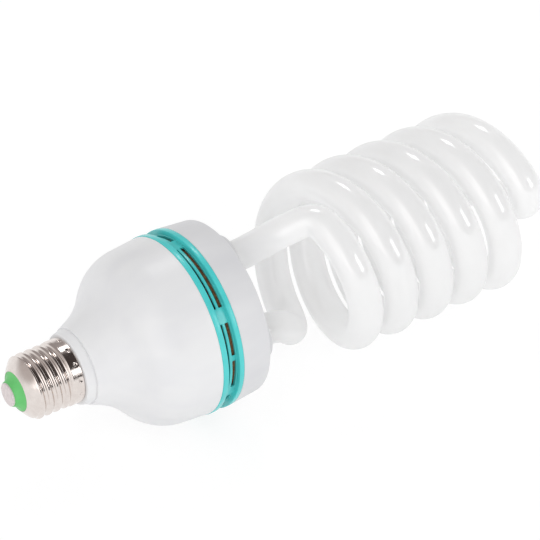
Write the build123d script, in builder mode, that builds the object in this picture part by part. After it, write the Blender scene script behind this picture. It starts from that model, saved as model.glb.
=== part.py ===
from build123d import *
import os
from math import acos, atan2, cos, degrees, hypot, radians, sin, sqrt, tan

os.makedirs("parts", exist_ok=True)

# A spiral fluorescent bulb for a photo studio lamp, with a screw cap. Its axis lies along X, with the
# cap towards -X, the spiral towards +X and +Z up. X = 0 is where the rim of the screw shell meets the
# shoulder of the housing. Sizes are in millimetres and angles in degrees.

# General clearances
fit_clearance = 0.1
wire_clearance = 0.1

# Screw shell: a rolled sheet metal cup with a round right-hand thread
thread_pitch = 3.629
thread_crest_radius = 13.05
thread_round = 1.025
thread_foot = 0.3
thread_lead_in = 0.7
thread_run_out = 0.2
thread_angle = 46.7
thread_crest_x = -19.6
shell_length = 22.9
shell_core_radius = 11.95
shell_bore_radius = 11.0
nose_length = 3.0
nose_hole_radius = 8.1
nose_round = 25.0
nose_wall = 0.9
skirt_length = 4.5
skirt_radius = 13.2
skirt_wall = 0.5
skirt_slope_length = 1.1

# Insulator and centre contact in the end of the shell
insulator_stand_out = 3.0
insulator_tip_radius = 5.0
insulator_flare = 4.6
insulator_flange_length = 2.4
contact_radius = 4.7
contact_thickness = 0.9
contact_round = 0.4

# Ballast housing: a moulded bell on a spigot inside the skirt of the shell
spigot_length = 4.2
spigot_bore_step = 0.4
housing_wall = 1.8
collar_radius = 14.35
collar_length = 3.2
collar_taper = 15.7
groove_width = 0.6
groove_depth = 0.7
neck_step = 0.5
neck_length = 3.7
neck_taper = 23.5
neck_bore_length = 1.5
flare_radius = 30.0
slope_length = 3.7
shoulder_radius = 20.7
mouth_taper = 5.0
mouth_x = 46.7
mouth_radius = 36.75

# Vent ring: a coloured band between the housing and the cover, with slots in a recess
ring_length = 9.4
ring_proud = 0.2
ring_depth = 3.75
lower_lip = 2.4
upper_lip = 2.1
lip_round = 0.35
recess_depth = 2.2
lower_slot = 1.2
upper_slot = 1.45
slot_edge = 0.35
bay_count = 6
post_arc = 10.4
post_angle = 82.7
web_arc = 4.0
web_recess = 0.35
tongue_length = 3.1
tongue_clearance = 0.45

# Tube cover: a moulded cup with two raised collars that hold the ends of the tube
cover_length = 13.0
cover_proud = 0.1
cover_draft = 5.0
cover_round = 1.0
cover_wall = 1.8
cover_end = 2.0
shelf_thickness = 1.6
spigot_wall = 1.7
spigot_height = 1.5
sleeve_height = 11.0
sleeve_radius = 10.4
sleeve_wall = 2.0
sleeve_round = 0.4
sleeve_hole_clearance = 0.5

# Spiral tube: two strands of one glass tube, wound side by side and joined by a bridge at the far end
tube_radius = 6.0
coil_radius = 31.55
coil_lead = 34.16
coil_start_x = 103.0
coil_end_turn = 993.0
leg_angle = 46.7
leg_offset = 15.3
leg_end_depth = 7.0
leg_rise = 5.1
leg_bend = 9.0
bridge_reach = 12.0
bridge_lead = 0.1
upper_join_turn = 66.0
upper_mid_offset = (4.47, -9.82, -12.06)
upper_mid_bend = 14.0
upper_last_reach = 5.5
upper_last_bend = 7.2
lower_join_turn = 67.4
lower_mid_offset = (5.28, -20.73, -13.8)
lower_mid_bend = 14.0
lower_last_reach = 10.5
lower_last_bend = 12.6
cement_clearance = 0.05
cement_bead = 4.0

# Circuit board, on the spigot of the cover
board_thickness = 1.6
board_clearance = 0.2
pin_radius = 0.6
pin_height = 3.0
pin_spread = 4.5
pin_clearance = 0.05
tube_lead_radius = 0.3
tube_lead_spread = 2.0
tube_lead_bend = 0.8

# Parts on the cap side of the board: places are shares of the board's radius, sizes stand up from it
bulk_share = (0, -0.152)
bulk_radius = 9.0
bulk_height = 30.0
bulk_crimp_height = 4.0
bulk_crimp_depth = 0.6
bulk_round = 1.2
choke_share = (0, 0.5)
choke_stand = 1.0
core_width = 25.4
core_height = 20.0
core_depth = 7.0
core_leg = 7.0
core_outer_leg = 3.3
core_yoke = 3.5
core_clearance = 0.15
bobbin_wall = 0.7
bobbin_flange = 0.9
winding_margin = 0.75
transistor_share = (0.606, -0.32)
transistor_width = 10.0
transistor_thickness = 4.5
transistor_body = 9.2
transistor_stand = 4.0
tab_thickness = 1.3
tab_height = 6.4
tab_hole_radius = 1.8
transistor_lead_width = 0.8
transistor_lead_thickness = 0.4
transistor_lead_pitch = 2.54
transistor_lead_count = 3
sink_width = 18.0
sink_height = 20.0
sink_thickness = 1.6
film_share = (0, -0.591)
film_size = (15.0, 6.0, 12.0)
small_film_share = (-0.448, -0.682)
small_film_size = (10.0, 5.0, 10.0)
film_round = 0.8
drum_share = (0.44, -0.65)
drum_radius = 5.0
drum_height = 14.0
drum_flange = 1.6
drum_groove = 0.7
toroid_radius = 5.0
toroid_hole_radius = 2.8
toroid_thickness = 5.0
disc_radius = 4.0
disc_thickness = 3.5
disc_round = 0.8
row_share = 0.615
row_gap = 0.9
row_count = 4
small_part_pitch = 3.4
diode_radius = 1.35
diode_length = 5.2
resistor_radius = 1.15
resistor_length = 6.4
fuse_share = (0, -0.803)
fuse_radius = 2.2
fuse_length = 10.0
lead_radius = 0.35
lead_reach = 1.6
lead_bend = 0.7

# Wires from the board to the cap
wire_radius = 0.6
wire_bend = 8.0
wire_spread = 3.2
live_centre_x = 9.0
neutral_angle = -126.0
neutral_bore_x = 7.0
neutral_end_x = -8.0
wire_turn_x = 25.0

# Planes of the assembly, worked out along the axis
shell_end_x = -shell_length
contact_seat_x = shell_end_x - insulator_stand_out
skirt_bore_radius = skirt_radius - skirt_wall
ring_radius = mouth_radius + ring_proud
ring_inner_radius = ring_radius - ring_depth
cover_radius = mouth_radius + cover_proud
board_radius = ring_inner_radius - board_clearance
ring_end_x = mouth_x + ring_length
cover_end_x = ring_end_x + cover_length
sleeve_end_x = cover_end_x + sleeve_height
board_top_x = ring_end_x - spigot_height
board_face_x = board_top_x - board_thickness
tube_end_x = cover_end_x - leg_end_depth
pin_top_x = board_top_x + pin_height
leg_places = [(leg_offset, 0), (-leg_offset, 0)]


def radial_plane(angle):
    """Plane through the axis: local x along +X, local y outward at the angle from +Y towards +Z."""
    return Plane((0, 0, 0), x_dir=(1, 0, 0), z_dir=(0, -sin(radians(angle)), cos(radians(angle))))


def cross_plane(x, angle=0.0):
    """Plane across the axis at x: local z along +X, local x outward at the angle from +Y towards +Z."""
    return Plane((x, 0, 0), x_dir=(0, cos(radians(angle)), sin(radians(angle))), z_dir=(1, 0, 0))


def board_plane(height=0.0):
    """Plane on the cap side of the board, at a height above it: local z points to the cap."""
    return Plane((board_face_x - height, 0, 0), x_dir=(0, 1, 0), z_dir=(-1, 0, 0))


def on_board(share):
    """Place across the board, from its shares of the board's radius."""
    return (share[0] * board_radius, share[1] * board_radius)


def axis_helix(x, angle, lead, height, radius):
    """Right-hand helix about the axis, from x and from the angle that is measured from +Y towards +Z."""
    helix = Helix(lead, height, radius, center=(x, 0, 0), direction=(1, 0, 0), mode=Mode.PRIVATE)
    return helix.rotate(Axis.X, angle - 90)


def bent_path(points, bends):
    """Straight runs from point to point, joined at each inner point by a tangent arc of its own radius."""
    points = [Vector(point) for point in points]
    with BuildLine() as path:
        start = points[0]
        for before, corner, after, bend in zip(points, points[1:], points[2:], bends):
            arriving = (corner - before).normalized()
            leaving = (after - corner).normalized()
            reach = bend * tan(radians(arriving.get_angle(leaving) / 2))
            run = Line(start, corner - arriving * reach)
            arc = TangentArc(run @ 1, corner + leaving * reach, tangent=arriving)
            start = arc @ 1
        Line(start, points[-1])
    return path.wire()


def sweep_round(path, radius):
    """Add a round bar along a path to the part that is being built."""
    with BuildSketch(Plane(path @ 0, z_dir=path % 0)) as section:
        Circle(radius)
    sweep(section.sketch, path=path, is_frenet=True)


# Screw shell: a thin cup, turned from the side opposite the thread's start, with the thread as a round
# ridge along a helix
thread_centre_radius = thread_crest_radius - thread_round
thread_half_width = sqrt(thread_round**2 - thread_foot**2)
thread_start_x = shell_end_x + nose_length + thread_lead_in
thread_start_angle = thread_angle + (thread_start_x - thread_crest_x) / thread_pitch * 360
thread_height = -skirt_length - skirt_slope_length - thread_run_out - thread_start_x
thread_path = axis_helix(
    thread_start_x, thread_start_angle, thread_pitch, thread_height, thread_centre_radius
)

with BuildPart() as screw_shell:
    with BuildSketch(radial_plane(thread_start_angle + 180)):
        with BuildLine():
            nose = RadiusArc(
                (shell_end_x, nose_hole_radius), (shell_end_x + nose_length, shell_core_radius), nose_round
            )
            Polyline(
                nose @ 1,
                (-skirt_length - skirt_slope_length, shell_core_radius),
                (-skirt_length, skirt_radius),
                (0, skirt_radius),
                (0, skirt_bore_radius),
                (-skirt_length, skirt_bore_radius),
                (-skirt_length, shell_bore_radius),
                (shell_end_x + nose_length + nose_wall / 2, shell_bore_radius),
                (shell_end_x + nose_wall, nose_hole_radius),
                nose @ 0,
            )
        make_face()
    revolve(axis=Axis.X)
    with BuildSketch(radial_plane(thread_start_angle)):
        with BuildLine():
            crest = ThreePointArc(
                (thread_start_x - thread_half_width, thread_centre_radius - thread_foot),
                (thread_start_x, thread_crest_radius),
                (thread_start_x + thread_half_width, thread_centre_radius - thread_foot),
            )
            Line(crest @ 1, crest @ 0)
        make_face()
    sweep(path=thread_path, is_frenet=True)
screw_shell.part.label = "screw_shell"
export_step(screw_shell.part, "parts/screw_shell.step")


# Insulator: a flared plug behind the nose of the shell, with a hole for the live wire
insulator_neck_radius = nose_hole_radius - fit_clearance
flange_radius = shell_bore_radius - 2 * fit_clearance
flange_x = shell_end_x + nose_length + nose_wall / 2 + fit_clearance

with BuildPart() as cap_insulator:
    with BuildSketch(Plane.XZ):
        with BuildLine():
            flare = RadiusArc(
                (contact_seat_x, insulator_tip_radius), (shell_end_x, insulator_neck_radius), -insulator_flare
            )
            Polyline(
                flare @ 1,
                (shell_end_x + nose_wall + fit_clearance, insulator_neck_radius),
                (flange_x, flange_radius),
                (flange_x + insulator_flange_length, flange_radius),
                (flange_x + insulator_flange_length, wire_radius + wire_clearance),
                (contact_seat_x, wire_radius + wire_clearance),
                flare @ 0,
            )
        make_face()
    revolve(axis=Axis.X)
cap_insulator.part.label = "cap_insulator"
export_step(cap_insulator.part, "parts/cap_insulator.step")


# Centre contact: a round metal disc on the tip of the insulator
with BuildPart() as centre_contact:
    with BuildSketch(cross_plane(contact_seat_x)):
        Circle(contact_radius)
    extrude(amount=-contact_thickness)
    fillet(centre_contact.edges().sort_by(Axis.X)[0], contact_round)
centre_contact.part.label = "centre_contact"
export_step(centre_contact.part, "parts/centre_contact.step")


# Ballast housing: the outer and inner walls turn about the same centres, and the slope between the two
# curves is as steep as the mouth's radius needs
spigot_radius = skirt_bore_radius - fit_clearance
spigot_bore_radius = shell_bore_radius + spigot_bore_step
collar_end_radius = collar_radius + collar_length * tan(radians(collar_taper))
neck_x = collar_length + groove_width
neck_start_radius = collar_end_radius + neck_step
neck_end_x = neck_x + neck_length
neck_end_radius = neck_start_radius + neck_length * tan(radians(neck_taper))
neck_direction = (cos(radians(neck_taper)), sin(radians(neck_taper)))
curves_out = flare_radius * cos(radians(neck_taper)) + shoulder_radius * cos(radians(mouth_taper))
curves_along = flare_radius * sin(radians(neck_taper)) + shoulder_radius * sin(radians(mouth_taper))
reach_out = (neck_end_radius + curves_out - mouth_radius) * cos(radians(mouth_taper))
reach_along = (mouth_x - neck_end_x + curves_along) * sin(radians(mouth_taper))
centres_apart = hypot(flare_radius + shoulder_radius, slope_length)
centres_tilt = degrees(atan2(slope_length, flare_radius + shoulder_radius))
slope_angle = mouth_taper + degrees(acos((reach_out + reach_along) / centres_apart)) - centres_tilt
flare_turn = slope_angle - neck_taper
shoulder_turn = slope_angle - mouth_taper
slope_run = (slope_length * cos(radians(slope_angle)), slope_length * sin(radians(slope_angle)))
inner_neck_x = neck_end_x + housing_wall * sin(radians(neck_taper))
inner_neck_radius = neck_end_radius - housing_wall * cos(radians(neck_taper))
mouth_inner_radius = mouth_radius - housing_wall

with BuildPart() as ballast_housing:
    with BuildSketch(Plane.XZ):
        with BuildLine():
            Polyline(
                (-spigot_length, spigot_bore_radius),
                (-spigot_length, spigot_radius),
                (0, spigot_radius),
                (0, collar_radius),
                (collar_length, collar_end_radius),
                (collar_length, collar_end_radius - groove_depth),
                (neck_x, collar_end_radius - groove_depth),
                (neck_x, neck_start_radius),
                (neck_end_x, neck_end_radius),
            )
            flare_out = JernArc((neck_end_x, neck_end_radius), neck_direction, flare_radius, flare_turn)
            slope_out = Line(flare_out @ 1, flare_out @ 1 + slope_run)
            shoulder_out = JernArc(slope_out @ 1, slope_out % 1, shoulder_radius, -shoulder_turn)
            Polyline(shoulder_out @ 1, (mouth_x, mouth_radius), (mouth_x, mouth_inner_radius))
            flare_in = JernArc(
                (inner_neck_x, inner_neck_radius), neck_direction, flare_radius + housing_wall, flare_turn
            )
            slope_in = Line(flare_in @ 1, flare_in @ 1 + slope_run)
            shoulder_in = JernArc(
                slope_in @ 1, slope_in % 1, shoulder_radius - housing_wall, -shoulder_turn
            )
            Line(shoulder_in @ 1, (mouth_x, mouth_inner_radius))
            Polyline(
                flare_in @ 0,
                (neck_bore_length, spigot_bore_radius),
                (-spigot_length, spigot_bore_radius),
            )
        make_face()
    revolve(axis=Axis.X)
ballast_housing.part.label = "ballast_housing"
export_step(ballast_housing.part, "parts/ballast_housing.step")


# Vent ring: two lips, a recess with two rows of slots between posts, and a tongue in the housing's mouth
recess_start_x = mouth_x + lower_lip
recess_end_x = ring_end_x - upper_lip
recess_radius = ring_radius - recess_depth
lower_slot_x = recess_start_x + slot_edge
upper_slot_x = recess_end_x - slot_edge - upper_slot
bay_arc = 360 / bay_count - post_arc
slot_depth = recess_radius - ring_inner_radius
slot_cut = slot_depth + 2 * fit_clearance

with BuildPart() as vent_ring:
    with BuildSketch(Plane.XZ) as ring_section:
        with BuildLine():
            Polyline(
                (mouth_x - tongue_length, ring_inner_radius),
                (mouth_x - tongue_length, mouth_inner_radius - tongue_clearance),
                (mouth_x, mouth_inner_radius - tongue_clearance),
                (mouth_x, ring_radius),
                (recess_start_x, ring_radius),
                (recess_start_x, recess_radius),
                (recess_end_x, recess_radius),
                (recess_end_x, ring_radius),
                (ring_end_x, ring_radius),
                (ring_end_x, ring_inner_radius),
                close=True,
            )
        make_face()
        fillet(ring_section.vertices().group_by(Axis.Y)[-1], lip_round)
    revolve(axis=Axis.X)
    for bay in range(bay_count):
        bay_start = post_angle + post_arc / 2 + bay * 360 / bay_count
        with BuildSketch(radial_plane(bay_start)):
            for slot_x, slot_width in ((lower_slot_x, lower_slot), (upper_slot_x, upper_slot)):
                with Locations((slot_x, ring_inner_radius - fit_clearance)):
                    Rectangle(slot_width, slot_cut, align=Align.MIN)
        revolve(axis=Axis.X, revolution_arc=bay_arc, mode=Mode.SUBTRACT)
    for bay in range(1, bay_count, 2):
        bay_middle = post_angle + (bay + 0.5) * 360 / bay_count
        with BuildSketch(radial_plane(bay_middle - web_arc / 2)):
            with Locations((upper_slot_x, ring_inner_radius)):
                Rectangle(upper_slot, slot_depth - web_recess, align=Align.MIN)
        revolve(axis=Axis.X, revolution_arc=web_arc)
vent_ring.part.label = "vent_ring"
export_step(vent_ring.part, "parts/vent_ring.step")


# Tube cover: a drafted cup with a spigot inside the vent ring and a hollow collar round each tube end
cover_end_radius = cover_radius - cover_length * tan(radians(cover_draft))
cover_spigot_radius = ring_inner_radius - fit_clearance
shelf_x = ring_end_x + shelf_thickness
shelf_radius = cover_radius - shelf_thickness * tan(radians(cover_draft)) - cover_wall
sleeve_hole_radius = tube_radius + sleeve_hole_clearance

with BuildPart() as tube_cover:
    with BuildSketch(Plane.XZ):
        with BuildLine():
            rim = FilletPolyline(
                (ring_end_x, cover_radius),
                (cover_end_x, cover_end_radius),
                (cover_end_x, 0),
                radius=cover_round,
            )
            Polyline(
                rim @ 1,
                (cover_end_x - cover_end, 0),
                (cover_end_x - cover_end, cover_end_radius - cover_wall),
                (shelf_x, shelf_radius),
                (shelf_x, cover_spigot_radius - spigot_wall),
                (board_top_x, cover_spigot_radius - spigot_wall),
                (board_top_x, cover_spigot_radius),
                (ring_end_x, cover_spigot_radius),
                rim @ 0,
            )
        make_face()
    revolve(axis=Axis.X)
    with BuildSketch(cross_plane(cover_end_x - cover_end, leg_angle)):
        with Locations(*leg_places):
            Circle(sleeve_radius)
    extrude(amount=cover_end + sleeve_height)
    fillet(tube_cover.faces().sort_by(Axis.X)[-2:].edges(), sleeve_round)
    with BuildSketch(cross_plane(cover_end_x - cover_end, leg_angle)):
        with Locations(*leg_places):
            Circle(sleeve_radius - sleeve_wall)
    extrude(amount=cover_end + sleeve_height - sleeve_wall, mode=Mode.SUBTRACT)
    with BuildSketch(cross_plane(sleeve_end_x, leg_angle)):
        with Locations(*leg_places):
            Circle(sleeve_hole_radius)
    extrude(amount=-sleeve_height, mode=Mode.SUBTRACT)
tube_cover.part.label = "tube_cover"
export_step(tube_cover.part, "parts/tube_cover.step")


# Spiral tube: each strand runs from its end in the cover, round the coil, to the middle of the bridge
coil_slope = coil_lead / 360


def coil_point(turn):
    """Point of a strand's coil, as distances along its leg's direction, across it and along the axis."""
    across = (coil_radius * cos(radians(turn)), coil_radius * sin(radians(turn)))
    return Vector(*across, coil_start_x + coil_slope * turn)


def coil_direction(turn):
    """Direction of a strand's coil, in the same terms."""
    across = (-coil_radius * sin(radians(turn)), coil_radius * cos(radians(turn)))
    return Vector(*across, coil_slope / radians(1)).normalized()


def strand_paths(angle, join_turn, mid_offset, mid_bend, last_reach, last_bend):
    """Centrelines of one strand's leg, coil and half bridge, with the leg at the angle from +Y towards +Z."""
    strand_plane = cross_plane(0, angle)
    join = coil_point(join_turn)
    coil_end = coil_point(coil_end_turn)
    bridge_corner = coil_end + coil_direction(coil_end_turn) * bridge_reach
    bridge_turn = coil_direction(coil_end_turn).get_angle(-Vector(bridge_corner.X, bridge_corner.Y))
    bridge_bend = (bridge_reach - bridge_lead) / tan(radians(bridge_turn / 2))
    leg_points = [
        (leg_offset, 0, tube_end_x),
        (leg_offset, 0, sleeve_end_x + leg_rise),
        join + Vector(mid_offset),
        join - coil_direction(join_turn) * last_reach,
        join,
    ]
    bridge_points = [coil_end, bridge_corner, (0, 0, bridge_corner.Z)]
    leg = bent_path(
        [strand_plane.from_local_coords(point) for point in leg_points], [leg_bend, mid_bend, last_bend]
    )
    coil = axis_helix(join.Z, angle + join_turn, coil_lead, coil_end.Z - join.Z, coil_radius)
    bridge = bent_path([strand_plane.from_local_coords(point) for point in bridge_points], [bridge_bend])
    return [leg, coil, bridge]


upper_strand = strand_paths(
    leg_angle, upper_join_turn, upper_mid_offset, upper_mid_bend, upper_last_reach, upper_last_bend
)
lower_strand = strand_paths(
    leg_angle + 180, lower_join_turn, lower_mid_offset, lower_mid_bend, lower_last_reach, lower_last_bend
)

with BuildPart() as spiral_tube:
    for stretch in upper_strand + lower_strand:
        sweep_round(stretch, tube_radius)
spiral_tube.part.label = "spiral_tube"
export_step(spiral_tube.part, "parts/spiral_tube.step")


# Cement that fills each collar round the tube and makes a bead inside the cover
with BuildPart() as tube_cement:
    with BuildSketch(cross_plane(cover_end_x - cover_end - cement_bead, leg_angle)):
        with Locations(*leg_places):
            Circle(sleeve_radius - sleeve_wall - fit_clearance)
            Circle(tube_radius + cement_clearance, mode=Mode.SUBTRACT)
    extrude(amount=cement_bead + cover_end + sleeve_height - sleeve_wall)
tube_cement.part.label = "tube_cement"
export_step(tube_cement.part, "parts/tube_cement.step")


# Circuit board with a hole for each wrap pin
pin_places = [(side * leg_offset, hand * pin_spread) for side in (1, -1) for hand in (1, -1)]
lead_places = [(side * leg_offset, hand * tube_lead_spread) for side in (1, -1) for hand in (1, -1)]

with BuildPart() as circuit_board:
    with BuildSketch(cross_plane(board_face_x, leg_angle)):
        Circle(board_radius)
        with Locations(*pin_places):
            Circle(pin_radius + pin_clearance, mode=Mode.SUBTRACT)
    extrude(amount=board_thickness)
circuit_board.part.label = "circuit_board"
export_step(circuit_board.part, "parts/circuit_board.step")


# Wrap pins, pressed through the board beside the tube ends
with BuildPart() as wrap_pins:
    with BuildSketch(cross_plane(board_face_x, leg_angle)):
        with Locations(*pin_places):
            Circle(pin_radius)
    extrude(amount=board_thickness + pin_height)
wrap_pins.part.label = "wrap_pins"
export_step(wrap_pins.part, "parts/wrap_pins.step")


# Tube leads, two from each tube end to the tips of its pins
lead_step = (tube_end_x - pin_top_x) / 3
leg_plane = cross_plane(0, leg_angle)

with BuildPart() as tube_leads:
    for start, end in zip(lead_places, pin_places):
        lead_points = [
            leg_plane.from_local_coords((*start, tube_end_x)),
            leg_plane.from_local_coords((*start, tube_end_x - lead_step)),
            leg_plane.from_local_coords((*end, pin_top_x + lead_step)),
            leg_plane.from_local_coords((*end, pin_top_x)),
        ]
        sweep_round(bent_path(lead_points, [tube_lead_bend] * 2), tube_lead_radius)
tube_leads.part.label = "tube_leads"
export_step(tube_leads.part, "parts/tube_leads.step")


# Bulk capacitor: a can with a crimp near its foot and a rounded top
bulk_place = on_board(bulk_share)

with BuildPart() as bulk_capacitor:
    with BuildSketch(board_plane()):
        with Locations(bulk_place):
            Circle(bulk_radius)
    extrude(amount=bulk_height)
    fillet(bulk_capacitor.edges().sort_by(Axis.X)[0], bulk_round)
    with BuildSketch(board_plane(bulk_crimp_height)):
        with Locations(bulk_place):
            Circle(bulk_radius)
            Circle(bulk_radius - bulk_crimp_depth, mode=Mode.SUBTRACT)
    extrude(amount=bulk_crimp_depth, both=True, mode=Mode.SUBTRACT)
bulk_capacitor.part.label = "bulk_capacitor"
export_step(bulk_capacitor.part, "parts/bulk_capacitor.step")


# Resonant choke: a double-window core, a bobbin round its middle leg and the winding on the bobbin
choke_place = on_board(choke_share)
window_height = core_height - 2 * core_yoke
window_width = (core_width - core_leg) / 2 - core_outer_leg
bobbin_hole = core_leg + 2 * core_clearance
bobbin_tube = bobbin_hole + 2 * bobbin_wall
bobbin_height = window_height - 2 * core_clearance
flange_size = core_leg + 2 * window_width - 4 * core_clearance
bobbin_base = choke_stand + core_yoke + core_clearance
winding_size = flange_size - 2 * winding_margin
winding_round = (winding_size - bobbin_tube) / 2
winding_inner = bobbin_tube + 2 * core_clearance
winding_height = bobbin_height - 2 * bobbin_flange - 2 * core_clearance
window_place = core_leg / 2 + window_width / 2

with BuildPart() as choke_core:
    with BuildSketch(board_plane(choke_stand)):
        with Locations(choke_place):
            Rectangle(core_width, core_depth)
    extrude(amount=core_height)
    with BuildSketch(board_plane(choke_stand + core_yoke)):
        with Locations(choke_place):
            with Locations((window_place, 0), (-window_place, 0)):
                Rectangle(window_width, core_depth)
    extrude(amount=window_height, mode=Mode.SUBTRACT)
choke_core.part.label = "choke_core"
export_step(choke_core.part, "parts/choke_core.step")

with BuildPart() as choke_bobbin:
    for flange_base in (bobbin_base, bobbin_base + bobbin_height - bobbin_flange):
        with BuildSketch(board_plane(flange_base)):
            with Locations(choke_place):
                Rectangle(flange_size, flange_size)
        extrude(amount=bobbin_flange)
    with BuildSketch(board_plane(bobbin_base)):
        with Locations(choke_place):
            Rectangle(bobbin_tube, bobbin_tube)
    extrude(amount=bobbin_height)
    with BuildSketch(board_plane(bobbin_base)):
        with Locations(choke_place):
            Rectangle(bobbin_hole, bobbin_hole)
    extrude(amount=bobbin_height, mode=Mode.SUBTRACT)
    foot_place = core_depth / 2 + core_clearance + bobbin_wall
    with BuildSketch(board_plane()):
        with Locations(choke_place):
            with Locations((0, foot_place), (0, -foot_place)):
                Rectangle(core_leg, 2 * bobbin_wall)
    extrude(amount=bobbin_base)
choke_bobbin.part.label = "choke_bobbin"
export_step(choke_bobbin.part, "parts/choke_bobbin.step")

with BuildPart() as choke_winding:
    with BuildSketch(board_plane(bobbin_base + bobbin_flange + core_clearance)):
        with Locations(choke_place):
            RectangleRounded(winding_size, winding_size, winding_round)
            Rectangle(winding_inner, winding_inner, mode=Mode.SUBTRACT)
    extrude(amount=winding_height)
choke_winding.part.label = "choke_winding"
export_step(choke_winding.part, "parts/choke_winding.step")


# Drive toroid, standing on its edge midway between the bulk capacitor and a transistor
transistor_place = on_board(transistor_share)
transistor_front = transistor_place[0] - transistor_thickness / 2
side_place = (bulk_place[0] + bulk_radius + transistor_front) / 2

with BuildPart() as drive_toroid:
    toroid_middle = (board_face_x - toroid_radius, side_place, -bulk_place[1])
    with BuildSketch(Plane(toroid_middle, z_dir=(0, 1, 0))):
        Circle(toroid_radius)
        Circle(toroid_hole_radius, mode=Mode.SUBTRACT)
    extrude(amount=toroid_thickness / 2, both=True)
drive_toroid.part.label = "drive_toroid"
export_step(drive_toroid.part, "parts/drive_toroid.step")


# Thermistor, a coated disc standing on its edge on the other side of the capacitor
with BuildPart() as thermistor:
    disc_middle = (board_face_x - disc_radius, -side_place, -bulk_place[1])
    with BuildSketch(Plane(disc_middle, z_dir=(0, 1, 0))):
        Circle(disc_radius)
    extrude(amount=disc_thickness / 2, both=True)
    fillet(thermistor.edges().filter_by(GeomType.CIRCLE), disc_round)
thermistor.part.label = "thermistor"
export_step(thermistor.part, "parts/thermistor.step")


# Power transistors, each with its tab against a heat sink
transistor_back = transistor_place[0] + transistor_thickness / 2
tab_place = transistor_back - tab_thickness / 2

with BuildPart() as power_transistors:
    for side in (1, -1):
        with BuildSketch(board_plane(transistor_stand)):
            with Locations((side * transistor_place[0], transistor_place[1])):
                Rectangle(transistor_thickness, transistor_width)
        extrude(amount=transistor_body)
        with BuildSketch(board_plane(transistor_stand + transistor_body)):
            with Locations((side * tab_place, transistor_place[1])):
                Rectangle(tab_thickness, transistor_width)
        extrude(amount=tab_height)
        hole_x = board_face_x - transistor_stand - transistor_body - tab_height / 2
        with BuildSketch(Plane((hole_x, side * tab_place, -transistor_place[1]), z_dir=(0, 1, 0))):
            Circle(tab_hole_radius)
        extrude(amount=tab_thickness, both=True, mode=Mode.SUBTRACT)
        with BuildSketch(board_plane()):
            with Locations((side * transistor_place[0], transistor_place[1])):
                with GridLocations(0, transistor_lead_pitch, 1, transistor_lead_count):
                    Rectangle(transistor_lead_thickness, transistor_lead_width)
        extrude(amount=transistor_stand)
power_transistors.part.label = "power_transistors"
export_step(power_transistors.part, "parts/power_transistors.step")


# Heat sinks: upright plates that stand on the board behind the transistors
with BuildPart() as heat_sinks:
    sink_place = transistor_back + sink_thickness / 2
    with BuildSketch(board_plane()):
        with Locations((sink_place, transistor_place[1]), (-sink_place, transistor_place[1])):
            Rectangle(sink_thickness, sink_width)
    extrude(amount=sink_height)
heat_sinks.part.label = "heat_sinks"
export_step(heat_sinks.part, "parts/heat_sinks.step")


# Film capacitors: two dipped blocks
with BuildPart() as film_capacitors:
    for share, size in ((film_share, film_size), (small_film_share, small_film_size)):
        with BuildSketch(board_plane()):
            with Locations(on_board(share)):
                RectangleRounded(size[0], size[1], film_round)
        extrude(amount=size[2])
film_capacitors.part.label = "film_capacitors"
export_step(film_capacitors.part, "parts/film_capacitors.step")


# Filter choke: a wound drum
drum_place = on_board(drum_share)

with BuildPart() as filter_choke:
    with BuildSketch(board_plane()):
        with Locations(drum_place):
            Circle(drum_radius)
    extrude(amount=drum_height)
    with BuildSketch(board_plane(drum_flange)):
        with Locations(drum_place):
            Circle(drum_radius)
            Circle(drum_radius - drum_groove, mode=Mode.SUBTRACT)
    extrude(amount=drum_height - 2 * drum_flange, mode=Mode.SUBTRACT)
filter_choke.part.label = "filter_choke"
export_step(filter_choke.part, "parts/filter_choke.step")


# Small parts that lie on the board, each a round body with a wire lead bent down at either end
def lay_part(place, along, body_radius, body_length):
    """Add one lying part at a place on the board, with its body along the given board direction."""
    middle = Vector(board_face_x - body_radius, place[0], -place[1])
    direction = Vector(0, along[0], -along[1])
    with BuildSketch(Plane(middle, z_dir=direction)) as body_section:
        Circle(body_radius)
    extrude(body_section.sketch, amount=body_length / 2, both=True)
    for hand in (1, -1):
        body_end = middle + direction * (hand * body_length / 2)
        corner = body_end + direction * (hand * lead_reach)
        lead_foot = (board_face_x, corner.Y, corner.Z)
        sweep_round(bent_path([body_end, corner, lead_foot], [lead_bend]), lead_radius)


def row_places(side, body_length):
    """Places of a row of lying parts beside the choke, on one side of the board."""
    row_z = choke_place[1] - core_depth / 2 - row_gap - body_length / 2 - lead_reach - lead_radius
    first = side * row_share * board_radius - (row_count - 1) / 2 * small_part_pitch
    return [(first + number * small_part_pitch, row_z) for number in range(row_count)]


with BuildPart() as rectifier_diodes:
    for place in row_places(-1, diode_length):
        lay_part(place, (0, 1), diode_radius, diode_length)
rectifier_diodes.part.label = "rectifier_diodes"
export_step(rectifier_diodes.part, "parts/rectifier_diodes.step")

with BuildPart() as resistors:
    for place in row_places(1, resistor_length):
        lay_part(place, (0, 1), resistor_radius, resistor_length)
resistors.part.label = "resistors"
export_step(resistors.part, "parts/resistors.step")

with BuildPart() as fuse_resistor:
    lay_part(on_board(fuse_share), (1, 0), fuse_radius, fuse_length)
fuse_resistor.part.label = "fuse_resistor"
export_step(fuse_resistor.part, "parts/fuse_resistor.step")


# Live wire: from between the capacitor and the choke, through the insulator, to the back of the centre
# contact
wire_z = -(bulk_place[1] + bulk_radius + choke_place[1] - flange_size / 2) / 2
live_points = [
    (board_face_x, wire_spread, wire_z),
    (wire_turn_x, wire_spread, wire_z),
    (live_centre_x, 0, 0),
    (contact_seat_x, 0, 0),
]

with BuildPart() as live_wire:
    sweep_round(bent_path(live_points, [wire_bend] * 2), wire_radius)
live_wire.part.label = "live_wire"
export_step(live_wire.part, "parts/live_wire.step")


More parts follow.
